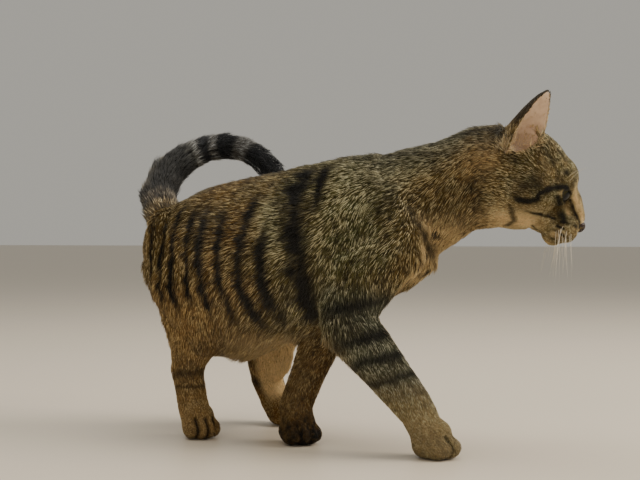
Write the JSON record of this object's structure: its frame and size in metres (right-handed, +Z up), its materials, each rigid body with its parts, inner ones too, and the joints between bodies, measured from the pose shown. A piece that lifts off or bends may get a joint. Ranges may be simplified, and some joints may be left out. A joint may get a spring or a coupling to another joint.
{
  "type": "house cat figure",
  "caption": "Life-size still figure of a walking tabby house cat, head low and turned a little, tail arched over the back, standing on all its paws.",
  "frame": {"origin": "on the floor, under the middle of the box round the cat", "axes": "+X forwards along the trunk, +Y to the cat's left, +Z up"},
  "size_m": [0.4454, 0.1854, 0.2958],
  "materials": {
    "coat_dark": "short dense fur, dark brown tabby stripes on warm brown",
    "coat_face": "short fur, grey-brown with dark lines",
    "coat_legs": "short fur, ochre with dark bars",
    "coat_feet": "very short fur, ochre",
    "coat_tail": "dense fur, black and grey rings",
    "ear_skin": "thin skin with sparse hair",
    "nose_leather": "moist bare skin",
    "eye": "wet and glossy"
  },
  "bodies": {
    "root": {"chest": "coat_dark", "ear_left": "ear_skin", "ear_right": "ear_skin", "eye_left": "eye", "eye_right": "eye", "forearm_left": "coat_legs", "forearm_right": "coat_legs", "front_paw_left": "coat_feet", "front_paw_right": "coat_feet", "head": "coat_face", "hind_paw_left": "coat_feet", "hind_paw_right": "coat_feet", "lower_leg_left": "coat_legs", "lower_leg_right": "coat_legs", "neck": "coat_face", "nose": "nose_leather", "tail_base": "coat_tail", "tail_middle": "coat_tail", "tail_tip": "coat_tail", "thigh_left": "coat_dark", "thigh_right": "coat_dark", "trunk": "coat_dark", "upper_arm_left": "coat_dark", "upper_arm_right": "coat_dark"}
  },
  "joints": []
}
